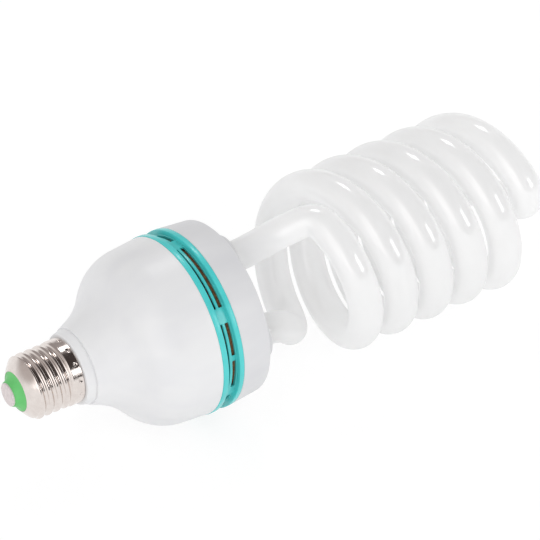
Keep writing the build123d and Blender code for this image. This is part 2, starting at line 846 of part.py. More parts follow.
# Neutral wire: from the board to the inside of the screw shell, where it is soldered
seat_radius = shell_bore_radius - wire_radius - wire_clearance
seat_y = seat_radius * cos(radians(neutral_angle))
seat_z = seat_radius * sin(radians(neutral_angle))
neutral_points = [
    (board_face_x, -wire_spread, wire_z),
    (wire_turn_x, -wire_spread, wire_z),
    (neutral_bore_x, seat_y, seat_z),
    (neutral_end_x, seat_y, seat_z),
]

with BuildPart() as neutral_wire:
    sweep_round(bent_path(neutral_points, [wire_bend] * 2), wire_radius)
neutral_wire.part.label = "neutral_wire"
export_step(neutral_wire.part, "parts/neutral_wire.step")
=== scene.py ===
from math import acos, ceil, cos, pi, radians, sin, sqrt, tan

import bmesh
import bpy
import numpy as np
from mathutils import Matrix, Vector


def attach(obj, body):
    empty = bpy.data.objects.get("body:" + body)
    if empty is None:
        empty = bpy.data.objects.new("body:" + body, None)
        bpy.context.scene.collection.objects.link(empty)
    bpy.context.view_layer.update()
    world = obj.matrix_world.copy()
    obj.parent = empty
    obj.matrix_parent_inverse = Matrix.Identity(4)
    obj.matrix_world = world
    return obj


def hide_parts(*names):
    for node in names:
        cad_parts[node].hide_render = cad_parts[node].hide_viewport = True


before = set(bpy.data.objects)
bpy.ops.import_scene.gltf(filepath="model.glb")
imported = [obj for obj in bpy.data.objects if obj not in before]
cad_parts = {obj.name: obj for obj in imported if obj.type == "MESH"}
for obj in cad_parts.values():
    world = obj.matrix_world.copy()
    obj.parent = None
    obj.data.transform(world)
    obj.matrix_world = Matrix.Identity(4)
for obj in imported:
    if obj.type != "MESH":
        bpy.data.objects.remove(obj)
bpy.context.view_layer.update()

# Circuit board: a disc of brown phenolic paper laminate that rests on the spigot of the cover.
# It is punched from sheet, and its rough edge shows as a brown line through the slots of the vent ring.
MM = 0.001
COLOUR_FIRST, COLOUR_SECOND, COLOUR_RESULT = 6, 7, 2


def srgb(red, green, blue):
    """Shader colour from values of 0 to 255 as a picture holds them."""
    shares = [value / 255 for value in (red, green, blue)]
    return (*[s / 12.92 if s < 0.04045 else ((s + 0.055) / 1.055) ** 2.4 for s in shares], 1.0)


def start_finish(name):
    """A new material: its node tree, its shader and the place on the piece in millimetres."""
    material = bpy.data.materials.new(name)
    material.use_nodes = True
    tree = material.node_tree
    shader = tree.nodes["Principled BSDF"]
    spot = tree.nodes.new("ShaderNodeTexCoord")
    to_mm = tree.nodes.new("ShaderNodeVectorMath")
    to_mm.operation = "SCALE"
    to_mm.inputs["Scale"].default_value = 1 / MM
    tree.links.new(spot.outputs["Object"], to_mm.inputs[0])
    return material, tree, shader, to_mm.outputs["Vector"]


def cloudy(tree, place, grain, detail=3.0):
    """Soft noise with spots of about the grain size in millimetres, from 0 to 1."""
    noise = tree.nodes.new("ShaderNodeTexNoise")
    noise.inputs["Scale"].default_value = 1 / grain
    noise.inputs["Detail"].default_value = detail
    tree.links.new(place, noise.inputs["Vector"])
    return noise.outputs["Fac"]


def ramped(tree, amount, low, high, start=0.3, end=0.7):
    """A number that goes from low to high while the amount goes from start to end."""
    ramp = tree.nodes.new("ShaderNodeMapRange")
    ramp.interpolation_type = "SMOOTHSTEP"
    ramp.inputs["From Min"].default_value = start
    ramp.inputs["From Max"].default_value = end
    ramp.inputs["To Min"].default_value = low
    ramp.inputs["To Max"].default_value = high
    tree.links.new(amount, ramp.inputs["Value"])
    return ramp.outputs["Result"]


def tinted(tree, amount, first, second):
    """A colour that goes from the first, fixed or made by a node, to the second with the amount."""
    mix = tree.nodes.new("ShaderNodeMix")
    mix.data_type = "RGBA"
    if isinstance(first, bpy.types.NodeSocket):
        tree.links.new(first, mix.inputs[COLOUR_FIRST])
    else:
        mix.inputs[COLOUR_FIRST].default_value = first
    mix.inputs[COLOUR_SECOND].default_value = second
    tree.links.new(amount, mix.inputs["Factor"])
    return mix.outputs[COLOUR_RESULT]


def embossed(tree, shader, height, depth):
    """Bump on the surface, as deep as given in millimetres."""
    bump = tree.nodes.new("ShaderNodeBump")
    bump.inputs["Strength"].default_value = 1.0
    bump.inputs["Distance"].default_value = depth * MM
    tree.links.new(height, bump.inputs["Height"])
    tree.links.new(bump.outputs["Normal"], shader.inputs["Normal"])


def grained_finish(name, first, second, rough, grain, depth, metallic=0.0):
    """A finish whose colour, roughness and surface vary with grains of one size."""
    material, tree, shader, place = start_finish(name)
    spots = cloudy(tree, place, grain)
    fine = cloudy(tree, place, grain / 4)
    tree.links.new(tinted(tree, ramped(tree, spots, 0, 1), first, second), shader.inputs["Base Color"])
    tree.links.new(ramped(tree, fine, *rough), shader.inputs["Roughness"])
    embossed(tree, shader, fine, depth)
    shader.inputs["Metallic"].default_value = metallic
    return material


def dress(node, material):
    """Give a carried-over piece its finish."""
    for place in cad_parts[node].material_slots:
        place.material = material


board_brown, board_pale = srgb(120, 74, 40), srgb(160, 108, 66)
phenolic_paper = grained_finish(
    "phenolic_paper", board_brown, board_pale, rough=(0.5, 0.75), grain=0.9, depth=0.03
)
dress("circuit_board", phenolic_paper)

# Parts on the board: wound, dipped and moulded components, the pins that the tube's leads are wrapped
# on, and the two wires to the cap. They are soldered to the board and show only through the slots.
# Each has its two colours, its roughness, its grain and depth in millimetres, and how metallic it is.
component_finishes = {
    "wrap_pins": (srgb(196, 190, 180), srgb(170, 164, 155), (0.25, 0.45), 0.4, 0.01, 1.0),
    "tube_leads": (srgb(205, 200, 194), srgb(180, 174, 168), (0.2, 0.4), 0.3, 0.005, 1.0),
    "bulk_capacitor": (srgb(28, 34, 48), srgb(38, 46, 62), (0.25, 0.4), 4.0, 0.02, 0.0),
    "choke_core": (srgb(52, 50, 50), srgb(66, 64, 62), (0.6, 0.8), 0.6, 0.03, 0.0),
    "choke_bobbin": (srgb(30, 30, 30), srgb(40, 40, 42), (0.4, 0.55), 2.0, 0.02, 0.0),
    "choke_winding": (srgb(150, 82, 40), srgb(184, 108, 56), (0.25, 0.4), 0.35, 0.12, 0.8),
    "drive_toroid": (srgb(46, 96, 66), srgb(58, 112, 78), (0.35, 0.5), 1.0, 0.03, 0.0),
    "thermistor": (srgb(34, 36, 38), srgb(50, 52, 56), (0.45, 0.6), 0.8, 0.03, 0.0),
    "power_transistors": (srgb(32, 32, 34), srgb(44, 44, 46), (0.5, 0.7), 0.4, 0.02, 0.0),
    "heat_sinks": (srgb(188, 190, 194), srgb(168, 170, 174), (0.35, 0.5), 0.8, 0.02, 1.0),
    "film_capacitors": (srgb(136, 44, 30), srgb(158, 58, 40), (0.3, 0.45), 1.5, 0.03, 0.0),
    "filter_choke": (srgb(26, 28, 30), srgb(40, 42, 44), (0.35, 0.5), 1.2, 0.02, 0.0),
    "rectifier_diodes": (srgb(30, 30, 32), srgb(44, 44, 46), (0.4, 0.55), 0.6, 0.01, 0.0),
    "resistors": (srgb(196, 168, 126), srgb(178, 148, 106), (0.35, 0.5), 0.6, 0.01, 0.0),
    "fuse_resistor": (srgb(120, 140, 132), srgb(136, 156, 148), (0.5, 0.65), 0.8, 0.02, 0.0),
    "live_wire": (srgb(176, 38, 34), srgb(192, 52, 46), (0.35, 0.5), 1.0, 0.01, 0.0),
    "neutral_wire": (srgb(34, 34, 36), srgb(46, 46, 48), (0.35, 0.5), 1.0, 0.01, 0.0),
}
for node, values in component_finishes.items():
    dress(node, grained_finish(node + "_finish", *values))

# Spiral tube: one glass tube, coated inside with white powder, softened and wound as two strands side
# by side. Both ends stand in the collars of the cover, and a bridge joins the strands at the far end.
TUBE_RADIUS = 6.3
TUBE_COLUMNS = 64
TUBE_STEP = 1.0
TUBE_EASE = 2
ARC_STEP = 0.5
COIL_RADIUS = 31.25
COIL_WIDENING = 0.1
COIL_LEAN = 1.7
LEAN_ANGLE = 136.7
WOUND_START_X, WOUND_END_X = 93.0, 110.0
COIL_LEAD = 34.16
COIL_START_X = 103.0
COIL_END_TURN = 993.0
LEG_ANGLE = 46.7
LEG_OFFSET = 15.3
LEG_FOOT_X = 62.1
LEG_CORNER_X = 85.2
LEG_BEND = 9.0
BRIDGE_REACH = 12.0
BRIDGE_BEND = 8.3
POWDER_CLOUD, POWDER_GRAIN = 9.0, 2.5
GLASS_WAVE, GLASS_WAVE_DEPTH = 14.0, 0.08
POWDER_ROUGHNESS = (0.38, 0.5)
# Painted light: from the cover to where the coil begins, the legs are painted a little whiter than the rest
# of the glass, to lighten them where the coil and the cover shade them.
LEG_PAINTED_LIGHT_X = (80, 104)
# Painted shade: the outside of the glass is painted grey where other walls of the tube come within this
# reach, in the crevices between the turns.
CREVICE_SHADE_REACH = 5.0
CREVICE_SHADE_OPENNESS = (0.2, 0.8)
LIGHT_THROUGH = 0.6
GLASS_INDEX = 1.65
GLASS_POLISH = 0.03
SHINE_SHARE = (0.08, 0.16)
SHINE_FRESNEL = (0.06, 0.7)
glass_white, glass_shade = srgb(252, 252, 252), srgb(251, 251, 251)
# The grey is painted shade for the crevices between the turns, and the legs' whiter colour is painted
# light.
painted_light_leg_white, crevice_painted_shade_grey = srgb(253, 253, 253), srgb(240, 240, 240)


def unit(vector):
    """The vector at length one."""
    return vector / np.linalg.norm(vector)


def bent_run(corners, bends, step):
    """Points along straight runs, with an arc of its own radius at each inner corner."""
    corners = [np.array(corner, float) for corner in corners]
    points = [corners[0]]
    for before, corner, after, bend in zip(corners, corners[1:], corners[2:], bends):
        arriving, leaving = unit(corner - before), unit(after - corner)
        turn = acos(np.clip(arriving @ leaving, -1, 1))
        centre = corner + unit(leaving - arriving) * bend / cos(turn / 2)
        start = corner - arriving * bend * tan(turn / 2)
        count = max(2, ceil(bend * turn / step))
        for share in np.linspace(0, 1, count + 1):
            swing = turn * share
            points.append(centre + (start - centre) * cos(swing) + arriving * bend * sin(swing))
    points.append(corners[-1])
    return np.array(points)


def evenly(points, step):
    """The same line with its points evenly spaced."""
    lengths = np.r_[0, np.cumsum(np.linalg.norm(np.diff(points, axis=0), axis=1))]
    marks = np.linspace(0, lengths[-1], max(2, round(lengths[-1] / step)) + 1)
    return np.stack([np.interp(marks, lengths, points[:, k]) for k in range(3)], axis=1)


def coil_point(turn):
    """A point of a strand's coil: along its leg's direction, across it and along the axis."""
    around = radians(turn)
    climb = COIL_START_X + COIL_LEAD * turn / 360
    return np.array([COIL_RADIUS * cos(around), COIL_RADIUS * sin(around), climb])


def coil_heading(turn):
    """The way that the coil runs there."""
    around = radians(turn)
    return unit(np.array([-COIL_RADIUS * sin(around), COIL_RADIUS * cos(around), COIL_LEAD / (2 * pi)]))


def strand_line(angle, join_turn, mid_corner, mid_bend, last_reach, last_bend):
    """The middle line of one strand, from its end in the cover to the middle of the bridge."""
    join, far_end = coil_point(join_turn), coil_point(COIL_END_TURN)
    bridge_corner = far_end + coil_heading(COIL_END_TURN) * BRIDGE_REACH
    leg_corners = [
        (LEG_OFFSET, 0, LEG_FOOT_X),
        (LEG_OFFSET, 0, LEG_CORNER_X),
        mid_corner,
        join - coil_heading(join_turn) * last_reach,
        join,
    ]
    leg = bent_run(leg_corners, [LEG_BEND, mid_bend, last_bend], ARC_STEP)
    coil = np.array([coil_point(turn) for turn in np.arange(join_turn + 1, COIL_END_TURN, 1)])
    bridge = bent_run([far_end, bridge_corner, (0, 0, bridge_corner[2])], [BRIDGE_BEND], ARC_STEP)
    line = np.concatenate([leg, coil, bridge])
    side = radians(angle)
    out, across, along = line.T
    return np.stack(
        [along, out * cos(side) - across * sin(side), out * sin(side) + across * cos(side)], axis=1
    )


def softened(points, reach):
    """The line with its changes of curve eased over a few points, and its ends kept."""
    weights = np.exp(-0.5 * (np.arange(-3 * reach, 3 * reach + 1) / reach) ** 2)
    before = 2 * points[0] - points[3 * reach : 0 : -1]
    after = 2 * points[-1] - points[-2 : -3 * reach - 2 : -1]
    padded = np.concatenate([before, points, after])
    weights = weights / weights.sum()
    return np.stack([np.convolve(padded[:, k], weights, "valid") for k in range(3)], axis=1)


def smooth(mesh, sharp_angle):
    """Smooth shading, except where faces meet at more than the angle."""
    mesh.shade_smooth()
    mesh.set_sharp_from_angle(angle=radians(sharp_angle))


def add_piece(name, vertices, faces, material, sharp_angle=40):
    """A mesh piece from points in millimetres, smooth except where its faces meet sharply."""
    mesh = bpy.data.meshes.new(name)
    mesh.from_pydata((np.asarray(vertices, float) * MM).tolist(), [], faces)
    shape = bmesh.new()
    shape.from_mesh(mesh)
    bmesh.ops.remove_doubles(shape, verts=shape.verts, dist=1e-7)
    bmesh.ops.recalc_face_normals(shape, faces=shape.faces)
    shape.to_mesh(mesh)
    shape.free()
    smooth(mesh, sharp_angle)
    mesh.materials.append(material)
    piece = bpy.data.objects.new(name, mesh)
    bpy.context.scene.collection.objects.link(piece)
    return piece


def grid_faces(rows, columns, closed_rows=False):
    """Quads of a grid that closes round its columns, and round its rows too if asked."""
    faces = []
    for row in range(rows if closed_rows else rows - 1):
        here, there = row * columns, (row + 1) % rows * columns
        for column in range(columns):
            side = (column + 1) % columns
            faces.append((here + column, here + side, there + side, there + column))
    return faces


def drawn_tube(line, radius, columns):
    """Points and faces of a round tube with closed ends along a line."""
    headings = np.gradient(line, axis=0)
    headings /= np.linalg.norm(headings, axis=1)[:, None]
    side = unit(np.cross(headings[0], (0.3, 0.5, 0.8)))
    around = np.linspace(0, 2 * pi, columns, endpoint=False)
    rings = []
    for middle, heading in zip(line, headings):
        side = unit(side - heading * (side @ heading))
        other = np.cross(heading, side)
        spokes = np.outer(np.cos(around), side) + np.outer(np.sin(around), other)
        rings.append(middle + radius * spokes)
    count = len(line)
    faces = grid_faces(count, columns)
    faces += [tuple(range(columns)), tuple(range((count - 1) * columns, count * columns))]
    return np.concatenate(rings), faces


def unevenly_wound(points, line, columns):
    """The tube's points with the wound part widened along the axis and leaning to one side."""
    middle_x = np.repeat(line[:, 0], columns)
    wound = np.clip((middle_x - WOUND_START_X) / (WOUND_END_X - WOUND_START_X), 0, 1)
    wound = wound * wound * (3 - 2 * wound)
    lean = radians(LEAN_ANGLE)
    lean_side = points[:, 1] * cos(lean) + points[:, 2] * sin(lean)
    moved = points.copy()
    moved[:, 0] += wound * COIL_WIDENING * (points[:, 0] - middle_x)
    moved[:, 0] += wound * tan(radians(COIL_LEAN)) * lean_side
    return moved


def on_outer_face(tree, face, amount):
    """The amount on the outside of the glass, and nothing on its inside."""
    kept = tree.nodes.new("ShaderNodeMix")
    kept.inputs["B"].default_value = 0
    tree.links.new(face.outputs["Backfacing"], kept.inputs["Factor"])
    tree.links.new(amount, kept.inputs["A"])
    return kept.outputs["Result"]


def layered(tree, amount, under, over):
    """Two shaders mixed by an amount, which is a fixed share or made by a node."""
    mix = tree.nodes.new("ShaderNodeMixShader")
    if isinstance(amount, bpy.types.NodeSocket):
        tree.links.new(amount, mix.inputs["Fac"])
    else:
        mix.inputs["Fac"].default_value = amount
    tree.links.new(under, mix.inputs[1])
    tree.links.new(over, mix.inputs[2])
    return mix.outputs["Shader"]


glass, tree, shader, place = start_finish("powder_coated_glass")
along = tree.nodes.new("ShaderNodeSeparateXYZ")
tree.links.new(place, along.inputs[0])
clouds = ramped(tree, cloudy(tree, place, POWDER_CLOUD), 0, 1)
powder_and_painted_light = tinted(tree, clouds, glass_white, glass_shade)
# Painted light: the legs near the cover get the whiter colour, which lightens them where the coil and the
# cover shade them.
powder_and_painted_light = tinted(tree, ramped(tree, along.outputs["X"], 1, 0, *LEG_PAINTED_LIGHT_X), powder_and_painted_light, painted_light_leg_white)
face = tree.nodes.new("ShaderNodeNewGeometry")
# Painted shade: an occlusion node finds other walls of the tube within a few millimetres, and the outside
# of the glass is painted grey there, in the crevices between the turns.
shade_occlusion = tree.nodes.new("ShaderNodeAmbientOcclusion")
shade_occlusion.only_local = True
shade_occlusion.samples = 8
shade_occlusion.inputs["Distance"].default_value = CREVICE_SHADE_REACH * MM
painted_crevice_shade = on_outer_face(tree, face, ramped(tree, shade_occlusion.outputs["AO"], 1, 0, *CREVICE_SHADE_OPENNESS))
powder_and_painted_light = tinted(tree, painted_crevice_shade, powder_and_painted_light, crevice_painted_shade_grey)
tree.links.new(powder_and_painted_light, shader.inputs["Base Color"])
powder_grain = cloudy(tree, place, POWDER_GRAIN)
tree.links.new(ramped(tree, powder_grain, *POWDER_ROUGHNESS), shader.inputs["Roughness"])
embossed(tree, shader, cloudy(tree, place, GLASS_WAVE, detail=1.0), GLASS_WAVE_DEPTH)
let_through = tree.nodes.new("ShaderNodeBsdfTranslucent")
tree.links.new(powder_and_painted_light, let_through.inputs["Color"])
thin_wall = layered(tree, LIGHT_THROUGH, shader.outputs[0], let_through.outputs[0])
gloss = tree.nodes.new("ShaderNodeBsdfGlossy")
gloss.inputs["Color"].default_value = (1, 1, 1, 1)
gloss.inputs["Roughness"].default_value = GLASS_POLISH
shine = tree.nodes.new("ShaderNodeFresnel")
shine.inputs["IOR"].default_value = GLASS_INDEX
outer_shine = on_outer_face(tree, face, ramped(tree, shine.outputs[0], *SHINE_SHARE, *SHINE_FRESNEL))
polished = layered(tree, outer_shine, thin_wall, gloss.outputs[0])
tree.links.new(polished, tree.nodes["Material Output"].inputs["Surface"])

upper_line = strand_line(
    LEG_ANGLE,
    join_turn=66.0,
    mid_corner=(17.3, 19.0, 97.2),
    mid_bend=14.0,
    last_reach=5.5,
    last_bend=7.2,
)
lower_line = strand_line(
    LEG_ANGLE + 180,
    join_turn=67.4,
    mid_corner=(17.4, 8.4, 95.6),
    mid_bend=14.0,
    last_reach=10.5,
    last_bend=12.6,
)
whole_line = np.concatenate([upper_line, lower_line[-2::-1]])
tube_line = softened(evenly(whole_line, TUBE_STEP), TUBE_EASE)
tube_points, tube_faces = drawn_tube(tube_line, TUBE_RADIUS, TUBE_COLUMNS)
tube_points = unevenly_wound(tube_points, tube_line, TUBE_COLUMNS)
glass_spiral = add_piece("glass_spiral", tube_points, tube_faces, glass)
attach(glass_spiral, "root")
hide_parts("spiral_tube")

# Tube cement: white silicate paste that fills each collar round the tube and holds it. It is pushed in
# from inside the cover, and a thin line of it shows at the mouth of each collar.
cement_white, cement_shade = srgb(228, 226, 220), srgb(206, 203, 196)
silicate_cement = grained_finish(
    "silicate_cement", cement_white, cement_shade, rough=(0.75, 0.95), grain=0.5, depth=0.08
)
dress("tube_cement", silicate_cement)

# Tube cover: a moulded cup of white plastic with two raised collars round the ends of the tube.
# It snaps into the vent ring by a spigot, and its side has a little draft towards the tube.
COVER_START_X = 56.1
COVER_END_X = 69.1
COVER_RADIUS = 36.85
COVER_DRAFT = 5.0
COVER_WALL = 1.8
COVER_END_WALL = 2.0
COVER_SPIGOT_RADIUS = 33.1
COVER_SPIGOT_BORE = 31.4
COVER_SPIGOT_X = 54.6
SHELF_X = 57.7
COLLAR_TOP_X = 80.1
COLLAR_RADIUS = 10.4
COLLAR_BORE = 8.4
COLLAR_HOLE = 6.5
COLLAR_ROOF = 2.0
COVER_COLUMNS, COLLAR_COLUMNS = 192, 72
COVER_SHARP_ANGLE = 35
cover_white, cover_shade = srgb(220, 220, 222), srgb(215, 215, 218)


def rounded(corners, steps=5):
    """A closed outline with each corner rounded: a corner is (x, distance from the axis, rounding)."""
    outline = []
    for number, (x, distance, rounding) in enumerate(corners):
        corner = np.array([x, distance])
        towards_last = np.array(corners[number - 1][:2]) - corner
        towards_next = np.array(corners[(number + 1) % len(corners)][:2]) - corner
        if not rounding:
            outline.append(corner)
            continue
        last, following = unit(towards_last), unit(towards_next)
        half = acos(np.clip(last @ following, -1, 1)) / 2
        centre = corner + unit(last + following) * rounding / sin(half)
        start = corner + last * rounding / tan(half)
        end = corner + following * rounding / tan(half)
        for share in np.linspace(0, 1, steps + 1):
            chord = start * (1 - share) + end * share
            outline.append(centre + unit(chord - centre) * rounding)
    return np.array(outline)


def turned(outline, columns):
    """Points and faces of a closed outline turned about the bulb's axis."""
    around = np.linspace(0, 2 * pi, columns, endpoint=False)
    rows = [
        np.stack([np.full(columns, x), r * np.cos(around), r * np.sin(around)], axis=1) for x, r in outline
    ]
    return np.concatenate(rows), grid_faces(len(outline), columns, closed_rows=True)


def stretched(tree, place, along, across):
    """The place scaled along the bulb's axis and across it, for streaks that run one way."""
    scale = tree.nodes.new("ShaderNodeVectorMath")
    scale.operation = "MULTIPLY"
    scale.inputs[1].default_value = (along, across, across)
    tree.links.new(place, scale.inputs[0])
    return scale.outputs["Vector"]


def moulded_plastic(name, first, second, rough, bump_depth):
    """Satin moulded plastic: faint flow marks, a fine even grain and a soft gloss."""
    material, tree, shader, place = start_finish(name)
    flow = cloudy(tree, stretched(tree, place, along=0.35, across=1.0), grain=11.0, detail=2.0)
    grain = cloudy(tree, place, grain=0.35, detail=2.0)
    tree.links.new(tinted(tree, ramped(tree, flow, 0, 1), first, second), shader.inputs["Base Color"])
    tree.links.new(ramped(tree, grain, *rough), shader.inputs["Roughness"])
    embossed(tree, shader, grain, bump_depth)
    return material


def cut_or_join(piece, tool_points, tool_faces, operation):
    """Join another solid to a piece or cut it away, and keep only the result."""
    tool = add_piece("tool", tool_points, tool_faces, piece.data.materials[0])
    change = piece.modifiers.new("change", "BOOLEAN")
    change.operation = operation
    change.solver = "EXACT"
    change.object = tool
    changed = piece.evaluated_get(bpy.context.evaluated_depsgraph_get())
    made = bpy.data.meshes.new_from_object(changed)
    piece.modifiers.remove(change)
    piece.data = made
    bpy.data.objects.remove(tool)


def off_axis(points, angle, offset):
    """Points moved out from the bulb's axis at an angle."""
    return points + np.array([0, offset * cos(radians(angle)), offset * sin(radians(angle))])


cover_end_radius = COVER_RADIUS - (COVER_END_X - COVER_START_X) * tan(radians(COVER_DRAFT))
shelf_radius = COVER_RADIUS - (SHELF_X - COVER_START_X) * tan(radians(COVER_DRAFT)) - COVER_WALL
cover_outline = rounded([
    (COVER_START_X, COVER_RADIUS, 0.25),
    (COVER_END_X, cover_end_radius, 1.0),
    (COVER_END_X, 0, 0),
    (COVER_END_X - COVER_END_WALL, 0, 0),
    (COVER_END_X - COVER_END_WALL, cover_end_radius - COVER_WALL, 0.4),
    (SHELF_X, shelf_radius, 0),
    (SHELF_X, COVER_SPIGOT_BORE, 0),
    (COVER_SPIGOT_X, COVER_SPIGOT_BORE, 0),
    (COVER_SPIGOT_X, COVER_SPIGOT_RADIUS, 0.2),
    (COVER_START_X, COVER_SPIGOT_RADIUS, 0),
])
collar_outline = rounded([
    (COVER_END_X - COVER_END_WALL / 2, COLLAR_RADIUS, 0),
    (COLLAR_TOP_X, COLLAR_RADIUS, 0.6),
    (COLLAR_TOP_X, COLLAR_HOLE, 0.25),
    (COLLAR_TOP_X - COLLAR_ROOF, COLLAR_HOLE, 0),
    (COLLAR_TOP_X - COLLAR_ROOF, COLLAR_BORE, 0),
    (COVER_END_X - COVER_END_WALL / 2, COLLAR_BORE, 0),
])
bore_outline = np.array([
    (COVER_END_X - 2 * COVER_END_WALL, COLLAR_BORE),
    (COVER_END_X + COVER_END_WALL, COLLAR_BORE),
    (COVER_END_X + COVER_END_WALL, 0),
    (COVER_END_X - 2 * COVER_END_WALL, 0),
])
cover_plastic = moulded_plastic(
    "cover_white_plastic", cover_white, cover_shade, rough=(0.34, 0.46), bump_depth=0.012
)
cover_cup = add_piece("cover_cup", *turned(cover_outline, COVER_COLUMNS), cover_plastic)
for side_angle in (LEG_ANGLE, LEG_ANGLE + 180):
    for outline, operation in ((collar_outline, "UNION"), (bore_outline, "DIFFERENCE")):
        tool_points, tool_faces = turned(outline, COLLAR_COLUMNS)
        cut_or_join(cover_cup, off_axis(tool_points, side_angle, LEG_OFFSET), tool_faces, operation)
smooth(cover_cup.data, COVER_SHARP_ANGLE)
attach(cover_cup, "root")
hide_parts("tube_cover")

# Vent ring: a teal plastic band between the cover and the housing. It is moulded with a recess round
# its outside, and six bays of slots in the recess let warm air out between the posts.
RING_START_X = 46.7
RING_END_X = 56.1
TONGUE_X = 43.6
TONGUE_RADIUS = 34.5
RING_RADIUS = 36.95
RING_BORE = 33.2
RECESS_START_X = 49.1
RECESS_END_X = 54.0
RECESS_RADIUS = 34.75
LOWER_SLOT = (49.35, 50.85)
UPPER_SLOT = (52.0, 53.75)
SLOT_WALL_BORE = 34.0
POST_ANGLE = 82.7
POST_ARC = 10.4
POST_STEP = 60.0
WEB_ANGLE = 172.7
WEB_ARC = 4.0
WEB_STEP = 120.0
WEB_RADIUS = 34.4
LIP_ROUND = 0.35
SLOT_ROUND = 0.1
RING_ARC_STEP = 1.5
RING_SHARP_ANGLE = 40
ring_teal, ring_deep_teal = srgb(84, 210, 209), srgb(75, 202, 202)


def away_from(angle, first, step):
    """How far an angle is from the nearest of a row of evenly spaced angles."""
    return abs((angle - first + step / 2) % step - step / 2)


def ring_is_solid(x, distance, angle):
    """Whether the ring has plastic at that place."""
    if x < RING_START_X:
        return distance < TONGUE_RADIUS
    if not RECESS_START_X < x < RECESS_END_X:
        return True
    if not SLOT_WALL_BORE < distance < RECESS_RADIUS:
        return False
    if away_from(angle, POST_ANGLE, POST_STEP) < POST_ARC / 2:
        return True
    if UPPER_SLOT[0] < x < UPPER_SLOT[1]:
        return away_from(angle, WEB_ANGLE, WEB_STEP) < WEB_ARC / 2 and distance < WEB_RADIUS
    return not LOWER_SLOT[0] < x < LOWER_SLOT[1]


def edges_of(first, step, arc):
    """Angles where evenly spaced posts or webs begin and end."""
    middles = [first + step * number for number in range(round(360 / step))]
    return [middle + hand * arc / 2 for middle in middles for hand in (-1, 1)]


ring_x = [TONGUE_X, RING_START_X, RECESS_START_X, *LOWER_SLOT, *UPPER_SLOT, RECESS_END_X, RING_END_X]
ring_r = [RING_BORE, SLOT_WALL_BORE, WEB_RADIUS, TONGUE_RADIUS, RECESS_RADIUS, RING_RADIUS]
ring_marks = edges_of(POST_ANGLE, POST_STEP, POST_ARC) + edges_of(WEB_ANGLE, WEB_STEP, WEB_ARC)
ring_marks = sorted(mark % 360 for mark in ring_marks)
ring_angles = []
for mark, following in zip(ring_marks, ring_marks[1:] + [ring_marks[0] + 360]):
    count = max(1, ceil((following - mark) / RING_ARC_STEP))
    ring_angles += list(np.linspace(mark, following, count, endpoint=False))
cells = (len(ring_x) - 1, len(ring_r) - 1, len(ring_angles))
ring_next = ring_angles[1:] + [ring_angles[0] + 360]
solid = np.zeros(cells, bool)
for i, j, k in np.ndindex(*cells):
    solid[i, j, k] = ring_is_solid(
        x=(ring_x[i] + ring_x[i + 1]) / 2,
        distance=(ring_r[j] + ring_r[j + 1]) / 2,
        angle=(ring_angles[k] + ring_next[k]) / 2,
    )
ring_points, ring_faces, known = [], [], {}


def ring_corner(i, j, k):
    """Number of the point at a crossing of the ring's grid."""
    key = (i, j, k % cells[2])
    if key not in known:
        known[key] = len(ring_points)
        turn = radians(ring_angles[key[2]])
        ring_points.append((ring_x[i], ring_r[j] * cos(turn), ring_r[j] * sin(turn)))
    return known[key]


for i, j, k in zip(*np.nonzero(solid)):
    for axis, hand in ((0, 0), (0, 1), (1, 0), (1, 1), (2, 0), (2, 1)):
        beside = [i, j, k]
        beside[axis] += 1 if hand else -1
        beside[2] %= cells[2]
        outside = axis < 2 and not 0 <= beside[axis] < cells[axis]
        if not outside and solid[tuple(beside)]:
            continue
        face = []
        for first, second in ((0, 0), (0, 1), (1, 1), (1, 0)):
            corner = [i, j, k]
            corner[axis] += hand
            corner[(axis + 1) % 3] += first
            corner[(axis + 2) % 3] += second
            face.append(ring_corner(*corner))
        ring_faces.append(tuple(face))


def reach(vertex):
    """How far a point of a mesh is from the bulb's axis, in millimetres."""
    return Vector((0, *vertex.co.yz)).length / MM


ring_plastic = moulded_plastic(
    "teal_ring_plastic", ring_teal, ring_deep_teal, rough=(0.18, 0.27), bump_depth=0.008
)
slotted_ring = add_piece("slotted_ring", ring_points, ring_faces, ring_plastic)
shape = bmesh.new()
shape.from_mesh(slotted_ring.data)
for rounding, lips in ((LIP_ROUND, True), (SLOT_ROUND, False)):
    sharp = [
        edge
        for edge in shape.edges
        if edge.calc_face_angle(0) > radians(RING_SHARP_ANGLE)
        and lips == (min(map(reach, edge.verts)) > RING_RADIUS - LIP_ROUND / 2)
        and max(map(reach, edge.verts)) > RECESS_RADIUS - LIP_ROUND / 2
    ]
    bmesh.ops.bevel(
        shape, geom=sharp, offset=rounding * MM, segments=3, profile=0.5, affect="EDGES", clamp_overlap=True
    )
shape.to_mesh(slotted_ring.data)
shape.free()
smooth(slotted_ring.data, RING_SHARP_ANGLE)
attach(slotted_ring, "root")
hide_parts("vent_ring")

# Ballast housing: a bell of white satin plastic over the board, moulded in one piece with its neck.
# Its mouth takes the tongue of the vent ring, and the screw shell is pushed over its spigot and staked.
HOUSING_WALL = 1.8
SPIGOT_END_X = -4.2
SPIGOT_RADIUS = 12.6
SPIGOT_BORE = 11.4
NECK_COLLAR_RADIUS = 14.35
NECK_COLLAR_LENGTH = 3.2
NECK_COLLAR_TAPER = 15.7
GROOVE_WIDTH = 0.6
GROOVE_DEPTH = 0.15
NECK_STEP = 0.5
NECK_LENGTH = 3.7
NECK_TAPER = 23.5
NECK_BORE_X = 1.5
FLARE_RADIUS = 30.0
FLARE_TURN = 26.5
SLOPE_LENGTH = 3.7
SHOULDER_RADIUS = 20.7
SHOULDER_TURN = 45.0
MOUTH_X = 46.7
MOUTH_RADIUS = 36.75
BELL_COLUMNS = 256
FLARE_STEPS, SHOULDER_STEPS = 28, 36
BELL_SHARP_ANGLE = 30
bell_white, bell_shade = srgb(232, 232, 233), srgb(228, 228, 230)


